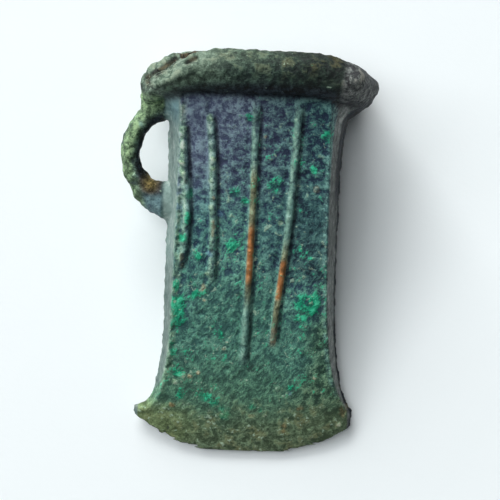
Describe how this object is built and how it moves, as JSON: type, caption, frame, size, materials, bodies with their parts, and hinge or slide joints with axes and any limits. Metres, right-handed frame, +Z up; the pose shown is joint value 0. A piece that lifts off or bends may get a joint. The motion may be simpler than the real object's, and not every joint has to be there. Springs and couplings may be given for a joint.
{
  "type": "bronze age axe head",
  "caption": "Hollow socketed bronze axe head with a splayed blade, thick rounded collar, crooked cast ribs and one side loop, lying on its back.",
  "frame": {"origin": "centre of the bounding box, at the level of the surface that the axe head lies on", "axes": "+X across the blade, away from the loop's side; +Y along the axe from the cutting edge to the mouth; +Z up, through its thickness, front face up"},
  "size_m": [0.0558, 0.09, 0.0335],
  "materials": {
    "patinated_bronze": "rough green and black corrosion over cast bronze, bare copper colour on two ribs"
  },
  "bodies": {
    "root": {"axe_head": "patinated_bronze"}
  },
  "joints": []
}
